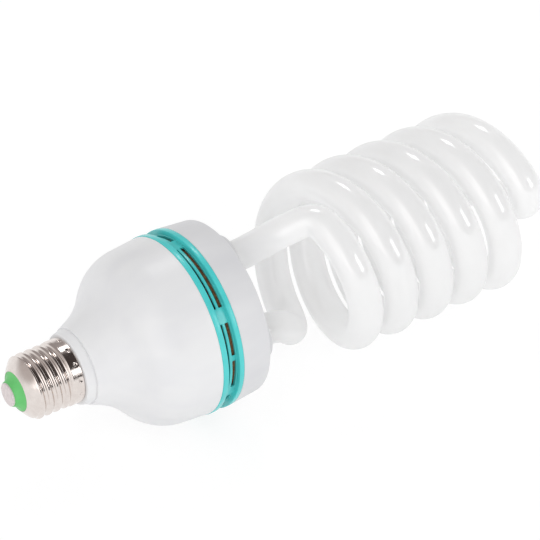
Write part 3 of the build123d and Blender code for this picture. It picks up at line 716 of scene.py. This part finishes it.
def arc_from(start, heading, radius, turn, count):
    """Points of an arc after its start and the heading at its end, for a turn from or to the axis."""
    hand = 1 if turn > 0 else -1
    centre = start + hand * radius * np.array([-sin(heading), cos(heading)])
    points = []
    for share in np.linspace(0, 1, count + 1)[1:]:
        swing = heading + radians(turn) * share
        points.append(centre + hand * radius * np.array([sin(swing), -cos(swing)]))
    return points, heading + radians(turn)


def bell_side(start, wall):
    """One side of the bell from neck to shoulder: the outside, or the inside at a wall's depth."""
    flare, heading = arc_from(start, radians(NECK_TAPER), FLARE_RADIUS + wall, FLARE_TURN, FLARE_STEPS)
    slope_end = flare[-1] + SLOPE_LENGTH * np.array([cos(heading), sin(heading)])
    slope = [flare[-1] + (slope_end - flare[-1]) * share for share in (0.33, 0.67, 1)]
    shoulder, _ = arc_from(slope_end, heading, SHOULDER_RADIUS - wall, -SHOULDER_TURN, SHOULDER_STEPS)
    return flare + slope + shoulder


collar_end_radius = NECK_COLLAR_RADIUS + NECK_COLLAR_LENGTH * tan(radians(NECK_COLLAR_TAPER))
neck_x = NECK_COLLAR_LENGTH + GROOVE_WIDTH
neck_start_radius = collar_end_radius + NECK_STEP
neck_taper = radians(NECK_TAPER)
neck_end = np.array([neck_x + NECK_LENGTH, neck_start_radius + NECK_LENGTH * tan(neck_taper)])
neck_inside = neck_end + HOUSING_WALL * np.array([sin(neck_taper), -cos(neck_taper)])
outside, inside = bell_side(neck_end, 0), bell_side(neck_inside, HOUSING_WALL)
to_mouth = np.array([MOUTH_X, MOUTH_RADIUS]) - outside[-1]
mouth_run = [outside[-1] + to_mouth * share for share in (0.25, 0.5, 0.75)]
bell_corners = [
    (SPIGOT_END_X, SPIGOT_BORE, 0),
    (SPIGOT_END_X, SPIGOT_RADIUS, 0.2),
    (0, SPIGOT_RADIUS, 0),
    (0, NECK_COLLAR_RADIUS, 0.35),
    (NECK_COLLAR_LENGTH, collar_end_radius, 0.1),
    (NECK_COLLAR_LENGTH, collar_end_radius - GROOVE_DEPTH, 0),
    (neck_x, collar_end_radius - GROOVE_DEPTH, 0),
    (neck_x, neck_start_radius, 0.3),
    (*neck_end, 0),
    *[(x, r, 0) for x, r in outside + mouth_run],
    (MOUTH_X, MOUTH_RADIUS, 0.25),
    (MOUTH_X, MOUTH_RADIUS - HOUSING_WALL, 0),
    *[(x, r, 0) for x, r in inside[::-1]],
    (*neck_inside, 0),
    (NECK_BORE_X, SPIGOT_BORE, 0),
]
bell_plastic = moulded_plastic(
    "bell_white_plastic", bell_white, bell_shade, rough=(0.3, 0.42), bump_depth=0.01
)
bell_housing = add_piece(
    "bell_housing", *turned(rounded(bell_corners), BELL_COLUMNS), bell_plastic, BELL_SHARP_ANGLE
)
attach(bell_housing, "root")
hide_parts("ballast_housing")

# Screw shell: thin brass sheet, drawn to a cup, rolled with a round thread and nickel plated.
# It sits on the spigot of the housing, and a ring of small staked pits near its rim holds it there.
THREAD_PITCH = 3.629
THREAD_CREST = 13.05
THREAD_ROOT = 11.95
THREAD_ROUND = 1.025
THREAD_ANGLE = 46.7
THREAD_CREST_X = -19.6
SHELL_END_X = -22.9
NOSE_HOLE = 8.1
NOSE_CENTRE = (-1.775, -5.266)
NOSE_ROUND = 25.0
NOSE_WALL = 0.9
NOSE_LENGTH = 3.0
SHELL_BORE = 11.0
SKIRT_RADIUS = 13.2
SKIRT_BORE = 12.7
SKIRT_START_X = -4.5
SKIRT_SLOPE_X = -5.6
RIM_ROUND = 0.3
MELT = 0.09
PIT_X = -1.7
PIT_ANGLE = 78.3
PIT_COUNT = 13
PIT_DEPTH = 0.38
PIT_SIZE = 0.5
SHELL_COLUMNS = 400
SHELL_STEP = 0.15
RIM_ROWS = (-0.2, -0.1, 0)
SHELL_SHARP_ANGLE = 50
nickel_bright, nickel_warm = srgb(228, 220, 215), srgb(223, 214, 209)


def nearer(first, second, melt):
    """The smaller of two radii, melted together where they meet."""
    return -melt * np.logaddexp(-first / melt, -second / melt)


def shell_radius(x, angles):
    """Outside radius of the shell at a place along it, for each angle."""
    crest = (x - THREAD_CREST_X) / THREAD_PITCH - (angles - THREAD_ANGLE) / 360
    away = np.abs(crest - np.round(crest)) * THREAD_PITCH
    half = THREAD_PITCH / 2
    top = THREAD_CREST - THREAD_ROUND + np.sqrt(np.maximum(THREAD_ROUND**2 - away**2, 0))
    foot = THREAD_ROOT + THREAD_ROUND - np.sqrt(np.maximum(THREAD_ROUND**2 - (half - away) ** 2, 0))
    thread = np.where(away < half / 2, top, foot)
    nose = NOSE_CENTRE[1] + sqrt(NOSE_ROUND**2 - (x - NOSE_CENTRE[0]) ** 2)
    skirt_rise = (x - SKIRT_SLOPE_X) / (SKIRT_START_X - SKIRT_SLOPE_X)
    skirt = THREAD_ROOT + (SKIRT_RADIUS - THREAD_ROOT) * min(skirt_rise, 1)
    threaded = nearer(thread, np.full_like(angles, nose), MELT)
    radius = -nearer(-threaded, np.full_like(angles, -skirt), MELT)
    if x > SKIRT_START_X:
        radius = np.full_like(angles, SKIRT_RADIUS)
    across = (angles - PIT_ANGLE) * PIT_COUNT / 360
    across = (across - np.round(across)) * 360 / PIT_COUNT * radians(1) * SKIRT_RADIUS
    pits = np.exp(-((across**2 + (x - PIT_X) ** 2) / (2 * PIT_SIZE**2)) ** 2)
    return radius - PIT_DEPTH * pits - max(0, x + RIM_ROUND) ** 2 / RIM_ROUND


shell_angles = np.arange(SHELL_COLUMNS) * 360 / SHELL_COLUMNS
shell_x = np.r_[np.arange(SHELL_END_X, -0.01, SHELL_STEP), RIM_ROWS]
shell_x = np.unique(shell_x.round(3))
shell_rows = [(np.full(SHELL_COLUMNS, x), shell_radius(x, shell_angles)) for x in shell_x]
inner_rows = [
    (0, SKIRT_BORE),
    (SKIRT_START_X, SKIRT_BORE),
    (SKIRT_START_X, SHELL_BORE),
    (SHELL_END_X + NOSE_LENGTH + NOSE_WALL / 2, SHELL_BORE),
    (SHELL_END_X + NOSE_WALL, NOSE_HOLE),
]
shell_rows += [(np.full(SHELL_COLUMNS, float(x)), np.full(SHELL_COLUMNS, r)) for x, r in inner_rows]
around = np.radians(shell_angles)
shell_points = np.concatenate([
    np.stack([x, r * np.cos(around), r * np.sin(around)], axis=1) for x, r in shell_rows
])
shell_faces = grid_faces(len(shell_rows), SHELL_COLUMNS, closed_rows=True)
nickel, tree, shader, place = start_finish("bright_nickel_plate")
rolled = cloudy(tree, stretched(tree, place, along=1.0, across=0.06), grain=0.22, detail=2.0)
smudge = cloudy(tree, place, grain=2.4)
plating = tinted(tree, ramped(tree, smudge, 0, 1), nickel_bright, nickel_warm)
tree.links.new(plating, shader.inputs["Base Color"])
tree.links.new(ramped(tree, smudge, 0.14, 0.19), shader.inputs["Roughness"])
embossed(tree, shader, rolled, depth=0.004)
shader.inputs["Metallic"].default_value = 1.0
threaded_shell = add_piece("threaded_shell", shell_points, shell_faces, nickel, SHELL_SHARP_ANGLE)
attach(threaded_shell, "root")
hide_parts("screw_shell")

# Cap insulator: a flared plug of green plastic behind the nose of the shell. It keeps the centre
# contact apart from the shell, and the live wire passes through a hole in its middle.
INSULATOR_TIP_X = -25.9
INSULATOR_TIP_RADIUS = 5.0
INSULATOR_NECK_RADIUS = 8.0
INSULATOR_FLARE = 4.6
FLANGE_X = -19.35
FLANGE_LENGTH = 2.4
FLANGE_RADIUS = 10.8
WIRE_HOLE = 0.7
NOSE_PLAY = 0.1
INSULATOR_COLUMNS = 128
insulator_green, insulator_deep = srgb(102, 198, 111), srgb(92, 189, 102)

flare_start = np.array([INSULATOR_TIP_X, INSULATOR_TIP_RADIUS])
flare_end = np.array([SHELL_END_X, INSULATOR_NECK_RADIUS])
chord = flare_end - flare_start
hollow = sqrt(INSULATOR_FLARE**2 - (chord @ chord) / 4)
flare_centre = (flare_start + flare_end) / 2 + unit(np.array([-chord[1], chord[0]])) * hollow
flare_points = [
    flare_centre + unit(flare_start + chord * share - flare_centre) * INSULATOR_FLARE
    for share in np.linspace(0, 1, 15)
]
insulator_corners = [
    *[(x, r, 0) for x, r in flare_points],
    (SHELL_END_X + NOSE_WALL + NOSE_PLAY, INSULATOR_NECK_RADIUS, 0),
    (FLANGE_X, FLANGE_RADIUS, 0),
    (FLANGE_X + FLANGE_LENGTH, FLANGE_RADIUS, 0),
    (FLANGE_X + FLANGE_LENGTH, WIRE_HOLE, 0),
    (INSULATOR_TIP_X, WIRE_HOLE, 0),
]
green_plastic = moulded_plastic(
    "green_insulator_plastic", insulator_green, insulator_deep, rough=(0.36, 0.5), bump_depth=0.02
)
insulator_plug = add_piece(
    "insulator_plug", *turned(rounded(insulator_corners), INSULATOR_COLUMNS), green_plastic
)
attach(insulator_plug, "root")
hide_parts("cap_insulator")

# Centre contact: a round disc of tinned brass on the tip of the insulator, soldered to the live wire.
# Its face is a little domed and dull from the solder.
CONTACT_RADIUS = 4.7
CONTACT_FACE_X = -26.8
CONTACT_ROUND = 0.4
DOME_INNER_DROP, DOME_OUTER_DROP = 0.06, 0.16
DOME_EDGE = 1.4
CONTACT_COLUMNS = 96
tin_pale, tin_grey = srgb(226, 216, 216), srgb(208, 198, 198)

contact_corners = [
    (CONTACT_FACE_X, 0, 0),
    (CONTACT_FACE_X + DOME_INNER_DROP, CONTACT_RADIUS - DOME_EDGE, 0),
    (CONTACT_FACE_X + DOME_OUTER_DROP, CONTACT_RADIUS, CONTACT_ROUND),
    (INSULATOR_TIP_X, CONTACT_RADIUS, 0),
    (INSULATOR_TIP_X, 0, 0),
]
tinned = grained_finish(
    "dull_tin", tin_pale, tin_grey, rough=(0.42, 0.62), grain=1.4, depth=0.06, metallic=0.2
)
contact_button = add_piece("contact_button", *turned(rounded(contact_corners), CONTACT_COLUMNS), tinned)
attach(contact_button, "root")
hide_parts("centre_contact")

# Floor: a plain white studio table under the bulb, which keeps a soft shadow.
# To the bulb it is matt white, and seen directly it is bright enough to melt into the room.
FLOOR_Z = -37.55
FLOOR_HALF = 4.0
FLOOR_GLOW = 0.84
table_bounce, table_shaded = (0.96, 0.96, 0.96, 1), (0.2, 0.2, 0.2, 1)
floor_mesh = bpy.data.meshes.new("studio_floor")
floor_corners = [
    (x * FLOOR_HALF, y * FLOOR_HALF, FLOOR_Z * MM) for x, y in ((-1, -1), (1, -1), (1, 1), (-1, 1))
]
floor_mesh.from_pydata(floor_corners, [], [(0, 1, 2, 3)])
studio_floor = bpy.data.objects.new("studio_floor", floor_mesh)
bpy.context.scene.collection.objects.link(studio_floor)
table_white = bpy.data.materials.new("table_white")
table_white.use_nodes = True
tree = table_white.node_tree
tree.nodes.remove(tree.nodes["Principled BSDF"])


def seen_directly(tree):
    """One where a ray comes from the camera or from a mirror or clear surface, otherwise nothing."""
    path = tree.nodes.new("ShaderNodeLightPath")
    total = path.outputs["Is Camera Ray"]
    for kind in ("Is Glossy Ray", "Is Transmission Ray"):
        plus = tree.nodes.new("ShaderNodeMath")
        plus.operation = "MAXIMUM"
        tree.links.new(total, plus.inputs[0])
        tree.links.new(path.outputs[kind], plus.inputs[1])
        total = plus.outputs[0]
    return total


bounce = tree.nodes.new("ShaderNodeBsdfDiffuse")
bounce.inputs["Color"].default_value = table_bounce
shaded = tree.nodes.new("ShaderNodeBsdfDiffuse")
shaded.inputs["Color"].default_value = table_shaded
glow = tree.nodes.new("ShaderNodeEmission")
glow.inputs["Strength"].default_value = FLOOR_GLOW
seen = tree.nodes.new("ShaderNodeAddShader")
tree.links.new(shaded.outputs[0], seen.inputs[0])
tree.links.new(glow.outputs[0], seen.inputs[1])
table_top = layered(tree, seen_directly(tree), bounce.outputs[0], seen.outputs[0])
tree.links.new(table_top, tree.nodes["Material Output"].inputs["Surface"])
floor_mesh.materials.append(table_white)

# Studio: a white room, a little brighter at its walls than at its ceiling, with two softboxes and a
# broad fill from the cap's side. Bright metal and gloss show the walls: pale towards the cap and the
# floor, grey behind, bright at the front left and dark at the front right.
WALL_LIGHT, CEILING_LIGHT = 1.12, 0.6
CEILING_RISE = 0.9
STUDIO_MIDDLE = Vector((0.09, 0, 0))
LAMP_DISTANCE = 1.6
WALLS_RADIUS = 2.6
WALLS_FOOT, WALLS_TOP = 4, 89
WALL_ROWS, WALL_COLUMNS = 24, 96
plain_white = (1, 1, 1, 1)
back_grey, side_white = (0.36, 0.33, 0.325, 1), (0.56, 0.52, 0.505, 1)
dark_cloth, front_white = (0.05, 0.04, 0.038, 1), (1.75, 1.71, 1.69, 1)
lamps = {
    "back_softbox": ((0.30, 0.45, 0.84), (0.36, 0.36), 2.6),
    "front_softbox": ((0.45, -0.80, 0.39), (0.46, 0.56), 3.2),
    "front_fill": ((-0.75, -0.55, 0.25), (1.4, 1.4), 5.5),
}

room = bpy.data.worlds.new("white_room")
bpy.context.scene.world = room
room.use_nodes = True
tree = room.node_tree
soft_light = tree.nodes["Background"]
soft_light.inputs["Color"].default_value = plain_white
looking = tree.nodes.new("ShaderNodeTexCoord")
upwards = tree.nodes.new("ShaderNodeSeparateXYZ")
tree.links.new(looking.outputs["Generated"], upwards.inputs[0])
room_light = ramped(tree, upwards.outputs["Z"], WALL_LIGHT, CEILING_LIGHT, 0.0, CEILING_RISE)
tree.links.new(room_light, soft_light.inputs["Strength"])
white_wall = tree.nodes.new("ShaderNodeBackground")
white_wall.inputs["Color"].default_value = plain_white
room_shader = layered(tree, seen_directly(tree), soft_light.outputs[0], white_wall.outputs[0])
tree.links.new(room_shader, tree.nodes["World Output"].inputs["Surface"])
for name, (direction, size, power) in lamps.items():
    light = bpy.data.lights.new(name, "AREA")
    light.shape = "RECTANGLE"
    light.size, light.size_y = size
    light.energy = power
    lamp = bpy.data.objects.new(name, light)
    bpy.context.scene.collection.objects.link(lamp)
    aim = Vector(direction).normalized()
    lamp.location = STUDIO_MIDDLE + aim * LAMP_DISTANCE
    lamp.rotation_euler = aim.to_track_quat("Z", "Y").to_euler()
    lamp.visible_glossy = name != "front_fill"


def both(tree, first, second):
    """How far two amounts hold together: their product."""
    product = tree.nodes.new("ShaderNodeMath")
    product.operation = "MULTIPLY"
    tree.links.new(first, product.inputs[0])
    tree.links.new(second, product.inputs[1])
    return product.outputs[0]


wall_rows = np.radians(np.linspace(WALLS_FOOT, WALLS_TOP, WALL_ROWS))
wall_columns = np.linspace(0, 2 * pi, WALL_COLUMNS, endpoint=False)
wall_points = [
    (cos(rise) * cos(turn), cos(rise) * sin(turn), sin(rise)) for rise in wall_rows for turn in wall_columns
]
wall_mesh = bpy.data.meshes.new("studio_walls")
wall_mesh.from_pydata(wall_points, [], grid_faces(WALL_ROWS, WALL_COLUMNS))
studio_walls = bpy.data.objects.new("studio_walls", wall_mesh)
bpy.context.scene.collection.objects.link(studio_walls)
studio_walls.location = STUDIO_MIDDLE
studio_walls.scale = (WALLS_RADIUS,) * 3
wall_paint = bpy.data.materials.new("wall_paint")
wall_paint.use_nodes = True
tree = wall_paint.node_tree
tree.nodes.remove(tree.nodes["Principled BSDF"])
wall_spot = tree.nodes.new("ShaderNodeTexCoord")
wall_side = tree.nodes.new("ShaderNodeSeparateXYZ")
tree.links.new(wall_spot.outputs["Object"], wall_side.inputs[0])
side_x, side_y, side_z = (wall_side.outputs[axis] for axis in "XYZ")
front_right = both(tree, ramped(tree, side_y, 1, 0, 0.05, 0.4), ramped(tree, side_x, 0, 1, -0.5, -0.05))
front_left = both(tree, ramped(tree, side_x, 1, 0, -0.6, -0.35), ramped(tree, side_y, 1, 0, -0.5, -0.05))
paint = tinted(tree, ramped(tree, side_x, 1, 0, -0.85, -0.3), back_grey, side_white)
paint = tinted(tree, ramped(tree, side_z, 1, 0, 0.05, 0.35), paint, plain_white)
paint = tinted(tree, front_right, paint, dark_cloth)
paint = tinted(tree, front_left, paint, front_white)
wall_glow = tree.nodes.new("ShaderNodeEmission")
tree.links.new(paint, wall_glow.inputs["Color"])
tree.links.new(wall_glow.outputs[0], tree.nodes["Material Output"].inputs["Surface"])
wall_mesh.materials.append(wall_paint)
for visibility in ("visible_camera", "visible_diffuse", "visible_transmission", "visible_shadow"):
    setattr(studio_walls, visibility, False)

# Camera: level, above the cap's side of the bulb, with a long lens.
# Its place and turn were fitted to the round edges of the bulb.
CAMERA_SENSOR, CAMERA_LENS = 36.0, 212.4
CAMERA_PLACE = (-0.4595, -0.8115, 0.7726)
CAMERA_RIGHT = (0.8267, -0.5626, 0.0)
CAMERA_UP = (0.3459, 0.5083, 0.7886)
CAMERA_BACK = (-0.4437, -0.6519, 0.6149)
camera_data = bpy.data.cameras.new("photo_camera")
camera_data.sensor_width = CAMERA_SENSOR
camera_data.lens = CAMERA_LENS
camera_data.clip_start, camera_data.clip_end = 0.05, 50.0
photo_camera = bpy.data.objects.new("photo_camera", camera_data)
bpy.context.scene.collection.objects.link(photo_camera)
camera_turn = Matrix((CAMERA_RIGHT, CAMERA_UP, CAMERA_BACK)).transposed()
photo_camera.matrix_world = Matrix.Translation(CAMERA_PLACE) @ camera_turn.to_4x4()
bpy.context.scene.camera = photo_camera
bpy.context.scene.view_settings.view_transform = "Standard"
